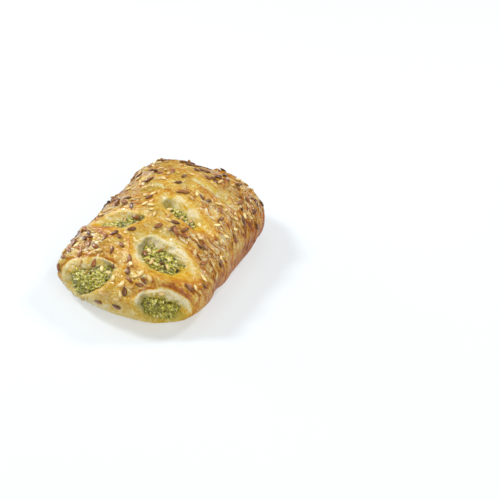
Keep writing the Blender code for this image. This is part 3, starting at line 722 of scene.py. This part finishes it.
def crust_material():
    """Egg-glazed dough, cream to gold to brown: its bake is varied by streaks, patches, specks and
    lines, which carry painted glints and shadows, and its glaze has a relief of its own, with sharp wrinkles
    and dimples."""
    material, tree, shader = new_material(
        "glazed_dough", Coat_Roughness=0.09, Subsurface_Weight=0.10, Subsurface_Scale=0.0015,
        Subsurface_Radius=(1.0, 0.55, 0.25), IOR=1.28, Specular_IOR_Level=0.20)
    surface = add(tree, "UVMap", uv_map="surface").outputs["UV"]
    strands = add(tree, "Mapping", {"Vector": surface, "Scale": STRAND_SCALE}).outputs[0]
    place = add(tree, "TexCoord").outputs["Object"]
    streak = texture(tree, strands, STREAKS)
    waves = texture(tree, strands, WAVES)
    speck = texture(tree, place, SPECKS)
    # lines beside the flakes' edges: painted glint and painted shadow, partly their own paler and browner
    # edges
    flake_line_light_and_shade = ramp(tree, waves, [(stop, (shade,) * 4) for stop, shade in FLAKE_LINE_LIGHT_AND_SHADE])
    terrace = sums(tree, "MULTIPLY", sums(tree, "SUBTRACT", waves, TERRACE.foot), TERRACE.steep)
    terrace.node.use_clamp = True
    rough = mark(tree, "rough")
    blotch = mark(tree, "blotch")
    glaze = mark(tree, "glaze")
    bake = swing(tree, streak, blotch, mark(tree, "bake"))
    bake = swing(tree, texture(tree, place, PATCHES), blotch, bake)
    bake = swing(tree, speck, CRUST.speck_bake, bake)
    # the lines' painted glints and shadows go into the bake
    bake = swing(tree, flake_line_light_and_shade, sums(tree, "MULTIPLY", mark(tree, "lined_light_and_shade"), CRUST.line_bake), bake)
    bake.node.use_clamp = True
    colour = ramp(tree, bake, DOUGH_COLOURS)
    colour = mix(tree, sums(tree, "MULTIPLY", mark(tree, "damp"), OLIVE_SHARE), colour, OLIVE)
    # painted shade in the pockets under the inner tips
    colour = mix(tree, sums(tree, "MULTIPLY", mark(tree, "pocket_shade"), POCKET_SHADE_SHARE), colour, POCKET_SHADE_COLOUR)
    tree.links.new(colour, shader.inputs["Base Color"])
    roughness = sums(tree, "MULTIPLY_ADD", glaze, CRUST.glazed, CRUST.dry)
    tree.links.new(roughness, shader.inputs["Roughness"])
    tree.links.new(glaze, shader.inputs["Coat Weight"])
    height = sums(tree, "MULTIPLY", sums(tree, "MULTIPLY_ADD", terrace, CRUST.terrace, streak), rough)
    bump(tree, shader, "Normal", sums(tree, "MULTIPLY_ADD", speck, CRUST.specks, height), CRUST.relief)
    ledge = sums(tree, "MULTIPLY", terrace, CRUST.gloss_terrace)
    height = sums(tree, "MULTIPLY_ADD", waves, CRUST.gloss_waves, ledge)
    dimples = sums(tree, "MULTIPLY", texture(tree, place, DIMPLES), CRUST.gloss_dimples)
    bump(tree, shader, "Coat Normal", sums(tree, "MULTIPLY_ADD", height, rough, dimples), CRUST.gloss)
    return material


def filling_material():
    """Moist spinach and cheese: every lump has its own green, darker in the gaps between and at the
    edges by painted shade, and lighter on the lumps' tops by painted light.
    """
    material, tree, shader = new_material(
        "spinach_and_cheese", Coat_Roughness=0.08, Coat_Weight=0.85, Roughness=0.46,
        Subsurface_Weight=0.12, Subsurface_Scale=0.0012, Subsurface_Radius=(0.7, 1.0, 0.25),
        Specular_IOR_Level=0.45)
    place = add(tree, "TexCoord").outputs["Object"]
    speck = texture(tree, place, FILLING_SPECKS)
    shade = swing(tree, speck, FILLING.contrast, mark(tree, "shade"))
    tree.links.new(ramp(tree, shade, FILLING_COLOURS), shader.inputs["Base Color"])
    bump(tree, shader, "Normal", speck, FILLING.relief)
    bump(tree, shader, "Coat Normal", texture(tree, place, DROPS), FILLING.gloss)
    return material


def bit_material(kind):
    """A small thing whose shade differs from one to the next, with faint mottling."""
    material, tree, shader = new_material(
        kind.finish, Roughness=kind.roughness, Coat_Weight=kind.coat, Coat_Roughness=0.1,
        Specular_IOR_Level=0.35)
    mottle = texture(tree, add(tree, "TexCoord").outputs["Object"], BIT_MOTTLE)
    shade = swing(tree, mottle, BIT_CONTRAST, mark(tree, "shade"))
    shade.node.use_clamp = True
    tree.links.new(mix(tree, shade, kind.dark, kind.light), shader.inputs["Base Color"])
    if kind.relief:
        bump(tree, shader, "Normal", mottle, kind.relief)
    return material


# ---- the crust's and the filling's pieces ----
CRUST_GRID = (212, 300)
SIDE_RINGS = 30
BASE_START = 1.80  # reach at which the flat base begins
BASE_RINGS = 6


def make_crust():
    """The crust: the pillow with relief, sunk at the slots to their floor."""
    sides = np.linspace(1.0, BASE_START, SIDE_RINGS + 1)[1:]
    base = np.linspace(BASE_START, 2.0, BASE_RINGS + 1)[1:-1]
    u, v, quads, fan = pillow_grid(*CRUST_GRID, np.concatenate([sides, base]))
    points, at = crust_form(u, v)
    surface = np.stack(strand_place(u, v), axis=-1)
    piece = make_piece(
        "crust", points, quads, fan, crust_material(), crust_marks(u, v, at), surface)
    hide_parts("pastry")


FILLING_CELL = 0.00029  # size of the filling's grid where it shows
PATCH_MARGIN = 0.0012  # a patch runs this far under the dough round its slot
PATCH_FLOOR = 1.9  # its underside, as a share of the dough's thickness
# The filling rises between two places off a slot's line, in full past a distance from the near rim,
# and sinks under the dough at the tips. It lies low on the far side. Its shade has painted light on the
# lumps' tops and painted shade at its edges, most on the near side under the lip, and is softened in
# the corner slots by a thin layer of cheese.
FILL = Named(
    rise=(-0.006, 0.004), near=0.7, near_width=0.003, inner=(0.55, 0.95), outer=(0.45, 1.00), sink=0.30,
    low=1.08, shade=0.46, tops=0.5, soft_shade=0.63, softened=0.38, edge=0.25, edge_depth=(0.0, 0.3),
    far_edge=0.3)
LUMP_WARP = (Noise(0.0010, 0.0021, 0.0021, 61), Noise(0.0010, 0.0021, 0.0021, 67))
SMALL_LUMPS = Noise(0.07, 0.0009, 0.0009, 57)
BROAD_LUMPS = Noise(0.12, 0.006, 0.006, 59)
MIDDLE_LUMP = 0.12
# Lumps lie in slanting cells: their size, slant and seed, the lumps' least height, what is added to
# it and their radius, and how much their shades differ, how much painted shade darkens the gaps and where.
Lumps = namedtuple("Lumps", "across along slant seed least more radius shades gap gap_start")
LUMPS = (
    Lumps(0.0030, 0.0019, 1.0, 51, 0.05, 0.16, 0.90, 0.30, 0.10, (0.55, 0.95)),
    Lumps(0.0013, 0.0009, -0.4, 53, 0.03, 0.12, 0.75, 0.75, 0.16, (0.40, 0.90)),
)
CORE_SHADE = 0.4
CORE_GRID = (40, 56)
CORE_RINGS = (1.15, 1.3, 1.45, 1.6, 1.75, 1.9)
CORE_IN = 1.15  # the covered core lies this far in, as a share of the dough


def filling_share(u, v):
    """How far in the filling lies, as a share of the dough, and its shade: swollen in each slot, most
    on its near side, with lumps that are each 1 - (distance / radius) ^ 2 high. The shade holds
    painted shade in the gaps and at the edges, and painted light on the lumps' tops."""
    swell, near, soft = np.zeros((3, *np.shape(u)))
    torn_u, torn_v = ragged(u, v)
    for number, slot in enumerate(SLOTS):
        _, to_near, inside, a, b = rim_distances(slot, torn_u, torn_v)
        soft = np.where(inside, number in CORNER_SLOTS, soft)
        nearer = step(-b, *FILL.rise)
        near = np.where(inside, nearer, near)
        rise = nearer * np.clip(FILL.near + to_near / FILL.near_width, 0.0, 1.0)
        tips = np.maximum(step(-a, *FILL.inner), step(a, *FILL.outer))
        swell = np.where(inside, slot.swell * rise * (1 - tips) - FILL.sink * tips, swell)
    warp_u, warp_v = (place + noise(kind, u, v) for place, kind in zip((u, v), LUMP_WARP))
    lump = noise(SMALL_LUMPS, u, v) + noise(BROAD_LUMPS, u, v)
    shade = FILL.shade
    for kind in LUMPS:
        x = (warp_u + kind.slant * warp_v) / kind.across
        y = (warp_v - kind.slant * warp_u) / kind.along
        away, own = cells(x, y, kind.seed)
        lump = lump + (kind.least + kind.more * own) * np.clip(1 - (away / kind.radius) ** 2, 0, 1)
        # the gaps between lumps are darkened: painted shade
        shade = shade + kind.shades * (own - 0.5) - kind.gap * step(away, *kind.gap_start)
    # higher lumps are lighter: painted light on their tops
    shade = shade + FILL.tops * (lump - MIDDLE_LUMP)
    shade = shade + soft * (FILL.soft_shade - shade) * FILL.softened
    share = FILL.low - swell - (lump - MIDDLE_LUMP)
    # painted shade at the filling's edges, most on the near side under the lip
    edge = 1 - step(slot_field(u, v)[1] - share, *FILL.edge_depth)
    return share, shade - FILL.edge * edge * (FILL.far_edge + (1 - FILL.far_edge) * near)


def inner_point(u, v, share):
    """The point at (u, v) this share of the dough's thickness in."""
    return pull_out_of_true(nested_pillow(u, v, share)[0])


def patch_mesh(slot):
    """A block of filling under one slot: a fine grid on top, straight sides, one flat floor."""
    middle, half, along, far = slot_axes(slot)
    wide = int(2 * (half + PATCH_MARGIN) / FILLING_CELL)
    deep = int((slot.far + slot.near + 2 * PATCH_MARGIN) / FILLING_CELL)
    a, b = np.meshgrid(
        np.linspace(-half - PATCH_MARGIN, half + PATCH_MARGIN, wide),
        np.linspace(-slot.near - PATCH_MARGIN, slot.far + PATCH_MARGIN, deep))
    u = middle[0] + a * along[0] + b * far[0]
    v = middle[1] + a * along[1] + b * far[1]
    share, shade = filling_share(u, v)
    top = inner_point(u, v, share).reshape(-1, 3)
    index = np.arange(u.size).reshape(u.shape)
    if along[0] * far[1] - along[1] * far[0] < 0:
        index = index[:, ::-1]
    quads, edge = grid_faces(index)
    floor = inner_point(u.ravel()[edge], v.ravel()[edge], np.full(edge.size, PATCH_FLOOR))
    points = np.concatenate([top, floor, floor.mean(axis=0, keepdims=True)])
    low = u.size + np.arange(edge.size)
    shades = np.concatenate([shade.ravel(), np.full(edge.size + 1, CORE_SHADE)])
    return points, np.concatenate([quads, ring_faces(edge, low)]), fan_faces(low, len(points) - 1), shades


def make_filling():
    """The filling: a plain core under the dough, and a finely lumped patch in every slot."""
    u, v, core_quads, core_fan = pillow_grid(*CORE_GRID, CORE_RINGS)
    core = inner_point(u, v, np.full(u.shape, CORE_IN))
    parts = [(core, core_quads, core_fan, np.full(len(core), CORE_SHADE))]
    points, quads, fans, shades = zip(*parts, *(patch_mesh(slot) for slot in SLOTS))
    starts = np.cumsum([0] + [len(part) for part in points[:-1]])
    quads, fans = (
        np.concatenate([faces + start for faces, start in zip(kind, starts)]) for kind in (quads, fans))
    piece = make_piece(
        "spinach_feta_filling", np.concatenate(points), quads, fans, filling_material(),
        {"shade": np.concatenate(shades)})
    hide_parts("filling")


# ---- seeds, crumbs and bits ----
# Each kind's length, width and thickness, how pointed it is, its darkest and lightest colours, how
# high its middle lies as a share of its thickness, the least and greatest of its sizes as shares,
# and its finish and relief.
Kind = namedtuple("Kind", "name slot size point dark light lies sizes finish roughness coat relief")
LINSEED = Kind(
    "linseed", "linseed", (0.0046, 0.0023, 0.0012), 0.80, linear(84, 46, 14), linear(158, 96, 36),
    0.22, (0.88, 1.12), "linseed_coat", 0.34, 0.6, 0.0)
SESAME = Kind(
    "sesame", "sesame", (0.0038, 0.0021, 0.0010), 0.62, linear(178, 136, 60), linear(238, 220, 156),
    0.22, (0.88, 1.12), "sesame_coat", 0.40, 0.4, 0.0)
CHEESE = Kind(
    "cheese_crumbs", "spinach_filling", (0.0011, 0.0009, 0.0008), 0.5, linear(204, 178, 104),
    linear(238, 226, 180), 0.2, (0.7, 1.3), "cheese_crumbs_finish", 0.5, 0.3, 0.0003)
LEAF = Kind(
    "spinach_bits", "spinach_filling", (0.0018, 0.0011, 0.0003), 0.6, linear(94, 88, 10),
    linear(198, 193, 56), 0.2, (0.7, 1.3), "spinach_bits_finish", 0.36, 0.9, 0.0003)
SHADES = (0.1, 0.9)
PAINTED_TOP_LIGHT = 0.6  # painted light and shade: how much lighter the top of one is than its edge
EVEN_SHADE = 0.75  # how far up it has its own shade

# The first spots for seeds, with a random seed, how many, and where; the share of those in a slot
# that hold one; and slow waves that drift them into clusters: per metre across, along, and phase.
SPOTS = Named(
    seed=7, count=480, strides=(0.7548777, 0.5698403), scatter=0.0012, field=(0.0430, 0.0610), reach=0.97,
    clear=0.0028, in_slots=0.30, drift=0.0022, waves=((330.0, 120.0, 0.4), (-160.0, 300.0, 1.7)))
# Further ones lie mostly on the outer parts, with fewer at the far end and at the right, and at the
# near left end, and a share anywhere. Where a slot is clear above the filling, a share hold one.
MORE = Named(
    seed=9, count=330, field=(0.0480, 0.0760), reach=1.10, clear=0.0016, outside=(0.010, 0.026),
    far_fewer=0.70, far=(0.035, 0.050), right_fewer=0.75, right=(-0.002, 0.002), near=(0.055, 0.062),
    left=(0.005, 0.015), anywhere=0.25, inside=0.15, on_filling=0.6)
SEED_APART = 0.0024  # no two seeds lie closer than this
LINSEED_SHARE = 0.5
SEED_STEP = 0.0008  # over which the slope of the surface under one is taken
SEED_SIDES = 8
SEED_RINGS = 5
SIZE_SEED = 21
# Crumbs and leaves: cheese lies only where the slot is deeper than the filling by this share of the
# dough, and spinach also on the dough up to this share above it.
BITS = Named(seed=33, count=9000, field=1.15, deep=0.10, wall=0.40, cheese=0.07, leaf=0.30)


def seed_form(size, point):
    """A flat teardrop: rings about its long axis whose radius follows t ** 0.5 * (1 - t) ** point,
    where t runs from the blunt end to the pointed one, between two poles."""
    length, width, thickness = size
    t = (1 - np.cos(np.pi * np.arange(1, SEED_RINGS + 1) / (SEED_RINGS + 1))) / 2
    turn = 2 * np.pi * np.arange(SEED_SIDES) / SEED_SIDES
    widest = 0.5 / (0.5 + point)
    fat = t ** 0.5 * (1 - t) ** point / (widest ** 0.5 * (1 - widest) ** point)
    x = np.repeat((t - 0.5) * length, SEED_SIDES)
    y = np.outer(fat * width / 2, np.cos(turn)).ravel()
    z = np.outer(fat * thickness / 2, np.sin(turn)).ravel()
    points = np.concatenate([[[-length / 2, 0, 0]], np.stack([x, y, z], axis=-1), [[length / 2, 0, 0]]])
    rings = 1 + np.arange(SEED_RINGS * SEED_SIDES).reshape(SEED_RINGS, SEED_SIDES)
    quads = np.concatenate([ring_faces(after, ring) for ring, after in zip(rings, rings[1:])])
    fans = [fan_faces(rings[0], 0), fan_faces(rings[-1], len(points) - 1)[:, ::-1]]
    return points, quads, np.concatenate(fans)


def thin_out(u, v, least):
    """Which spots to keep so that none lies closer than least to one that comes before it."""
    apart = np.hypot(u[:, None] - u, v[:, None] - v)
    return ~np.tril(apart < least, -1).any(axis=1)


def seed_spots():
    """Spots spread over the top by a golden-ratio sequence and drifted into loose clusters, clear
    of the slots' rims. Few of those inside a slot hold a seed."""
    draw = np.random.default_rng(SPOTS.seed)
    n = np.arange(1, SPOTS.count + 1)
    u, v = (
        ((stride * n) % 1.0 * 2 - 1) * half + draw.normal(0.0, SPOTS.scatter, SPOTS.count)
        for stride, half in zip(SPOTS.strides, SPOTS.field))
    drift = [SPOTS.drift * np.sin(across * u + along * v + phase) for across, along, phase in SPOTS.waves]
    u, v = u + drift[0], v + drift[1]
    turn = draw.uniform(0.0, 2 * np.pi, SPOTS.count)
    linseed = draw.random(SPOTS.count) < LINSEED_SHARE
    gap = slot_gap(u, v)
    inside = (gap < -SPOTS.clear) & (draw.random(SPOTS.count) < SPOTS.in_slots)
    keep = ((gap > SPOTS.clear) | inside) & (reach(u, v) < SPOTS.reach) & thin_out(u, v, SEED_APART)
    return u[keep], v[keep], turn[keep], linseed[keep]


def more_seeds(first_u, first_v):
    """Further spots, drawn at random and most of them on the outer parts, clear of the first ones,
    of the rims and of each other, with their turns and kinds."""
    draw = np.random.default_rng(MORE.seed)
    u, v = draw.uniform(-1.0, 1.0, (2, MORE.count)) * np.array(MORE.field)[:, None]
    turn = draw.uniform(0.0, 2 * np.pi, MORE.count)
    linseed = draw.random(MORE.count) < LINSEED_SHARE
    outer = step(np.abs(u), *MORE.outside) * (1 - MORE.far_fewer * step(v, *MORE.far))
    outer = outer * (1 - MORE.right_fewer * step(u, *MORE.right))
    low = step(-v, *MORE.near) * (1 - step(u, *MORE.left))
    wanted = draw.random(MORE.count) < MORE.anywhere + (1 - MORE.anywhere) * np.maximum(outer, low)
    filled = (clear_depth(u, v) > MORE.inside) & (draw.random(MORE.count) < MORE.on_filling)
    apart = np.hypot(u[:, None] - first_u, v[:, None] - first_v).min(axis=1)
    keep = ((wanted & (slot_gap(u, v) > MORE.clear)) | filled) & (apart > SEED_APART)
    keep = keep & (reach(u, v) < MORE.reach) & thin_out(u, v, SEED_APART)
    return u[keep], v[keep], turn[keep], linseed[keep]


def clear_depth(u, v):
    """How far a slot is deeper than the filling, as a share of the dough; negative on the dough."""
    return slot_field(u, v)[1] - filling_share(u, v)[0]


def top_surface(u, v):
    """The point that shows at (u, v): on the filling where a slot is deeper than it, else on the crust."""
    crust, at = crust_form(u, v)
    share = filling_share(u, v)[0]
    return np.where((at.depth > share)[:, None], inner_point(u, v, share), crust)


def surface_axes(u, v, turn):
    """Point, and length, width and upward directions, of things that lie on the surface at (u, v),
    from small steps across and along it."""
    here = top_surface(u, v)
    right = top_surface(u + SEED_STEP, v) - here
    ahead = top_surface(u, v + SEED_STEP) - here
    up = np.cross(right, ahead)
    up /= np.linalg.norm(up, axis=-1, keepdims=True)
    length = right * np.cos(turn)[:, None] + ahead * np.sin(turn)[:, None]
    length -= up * (length * up).sum(axis=-1, keepdims=True)
    length /= np.linalg.norm(length, axis=-1, keepdims=True)
    return here, length, np.cross(up, length), up


def scatter(kind, draw, u, v, turn):
    """Things of one kind joined into one mesh, each at its own place, turn, size and shade. The
    shade falls from the top of each to its edge: painted light on the top and painted shade at the
    edge, which for the seeds also stands for their browner rims."""
    points, quads, triangles = seed_form(kind.size, kind.point)
    here, length, width, up = surface_axes(u, v, turn)
    here = here + up * kind.lies * kind.size[2]
    sizes = draw.uniform(*kind.sizes, len(here))
    shades = draw.uniform(*SHADES, len(here))
    axes = np.stack([length, width, up], axis=1) * sizes[:, None, None]
    placed = np.einsum("pk,nkj->npj", points, axes) + here[:, None, :]
    starts = (np.arange(len(here)) * len(points))[:, None, None]
    top = points[:, 2] / points[:, 2].max()
    quads, triangles = (quads + starts).reshape(-1, 4), (triangles + starts).reshape(-1, 3)
    # painted light on each top and painted shade at each edge
    shades = (shades[:, None] + PAINTED_TOP_LIGHT * (top - EVEN_SHADE)).ravel()
    make_piece(
        kind.name, placed.reshape(-1, 3), quads, triangles, bit_material(kind), {"shade": shades})


def make_seeds():
    """Linseed and sesame on the crust."""
    first = seed_spots()
    more = more_seeds(*first[:2])
    u, v, turn, linseed = (np.concatenate(pair) for pair in zip(first, more))
    draw = np.random.default_rng(SIZE_SEED)
    for kind, chosen in ((LINSEED, linseed), (SESAME, ~linseed)):
        scatter(kind, draw, u[chosen], v[chosen], turn[chosen])


def make_bits():
    """Crumbs of cheese and bits of spinach leaf that lie on the filling."""
    draw = np.random.default_rng(BITS.seed)
    u, v = draw.uniform(-1.0, 1.0, (2, BITS.count)) * np.array(SPOTS.field)[:, None] * BITS.field
    clear = clear_depth(u, v)
    u, v, clear = (values[clear > -BITS.wall] for values in (u, v, clear))
    turn = draw.uniform(0.0, 2 * np.pi, len(u))
    cheese = (clear > BITS.deep) & (draw.random(len(u)) < BITS.cheese)
    leaf = ~cheese & (clear > -BITS.wall * draw.random(len(u)) ** 2) & (draw.random(len(u)) < BITS.leaf)
    for kind, chosen in ((CHEESE, cheese), (LEAF, leaf)):
        scatter(kind, draw, u[chosen], v[chosen], turn[chosen])


# ---- stage ----
# What the camera faces, and its direction and distance from there.
TARGET = Vector((0.0297, 0.0297, 0.0))
AWAY = Vector((0.4228, -0.7244, 0.5446))
DISTANCE = 0.749
LENS = 105.84
SENSOR_WIDTH = 36.0
CLIP_START = 0.01
LIGHT_DISTANCE = 0.9
WHITE = (1.0, 1.0, 1.0)
LIGHTS = (  # name, direction, size, watts and colour
    ("key", (-0.90, -0.15, 1.00), 0.22, 5.8, WHITE),
    ("left", (-1.00, 0.05, 0.25), 0.30, 1.6, WHITE),
    ("back", (0.45, 0.80, 0.90), 0.20, 3.6, WHITE),
    ("top", (-0.10, 0.20, 1.00), 0.30, 0.6, WHITE),
    ("front", (0.85, -0.60, 0.60), 0.40, 3.6, (1.0, 0.86, 0.66)))
SURROUND = 0.31  # strength of the white surround
FLOOR_HALF = 3.0
FLOOR_DROP = 0.0001
FLOOR_COLOUR = (0.355, 0.405, 0.445, 1.0)
FLOOR_GLOW = 0.48


def aim(name, data, target, direction, distance):
    """A new camera or light, level, at this distance and in this direction from what it faces."""
    made = new_object(name, data)
    made.location = target + direction * distance
    made.rotation_mode = "QUATERNION"
    made.rotation_quaternion = direction.to_track_quat("Z", "Y")
    return made


def make_camera():
    """The camera, facing the target."""
    data = bpy.data.cameras.new("camera")
    data.lens = LENS
    data.sensor_width = SENSOR_WIDTH
    data.clip_start = CLIP_START
    bpy.context.scene.camera = aim("camera", data, TARGET, AWAY, DISTANCE)


def add_light(name, towards, size, watts, colour):
    """An area light in this direction from the middle of the pastry."""
    data = bpy.data.lights.new(name, "AREA")
    data.size = size
    data.energy = watts
    data.color = colour
    aim(name, data, Vector(), Vector(towards).normalized(), LIGHT_DISTANCE)


def make_stage():
    """A pale floor, a white surround and soft lights."""
    corners = [(x * FLOOR_HALF, y * FLOOR_HALF, 0) for x, y in ((-1, -1), (1, -1), (1, 1), (-1, 1))]
    mesh = bpy.data.meshes.new("floor")
    mesh.from_pydata(corners, [], [(0, 1, 2, 3)])
    mesh.materials.append(new_material(
        "pale_floor", Roughness=0.9, Specular_IOR_Level=0.1, Base_Color=FLOOR_COLOUR,
        Emission_Color=(*WHITE, 1.0), Emission_Strength=FLOOR_GLOW)[0])
    floor = new_object("floor", mesh)
    floor.location.z = -FLOOR_DROP
    world = bpy.data.worlds.new("surround")
    world.use_nodes = True
    background = world.node_tree.nodes["Background"]
    background.inputs["Color"].default_value = (*WHITE, 1.0)
    background.inputs["Strength"].default_value = SURROUND
    bpy.context.scene.world = world
    for light in LIGHTS:
        add_light(*light)


make_crust()
make_filling()
make_bits()
make_seeds()
make_stage()
make_camera()
bpy.context.scene.view_settings.view_transform = "Standard"
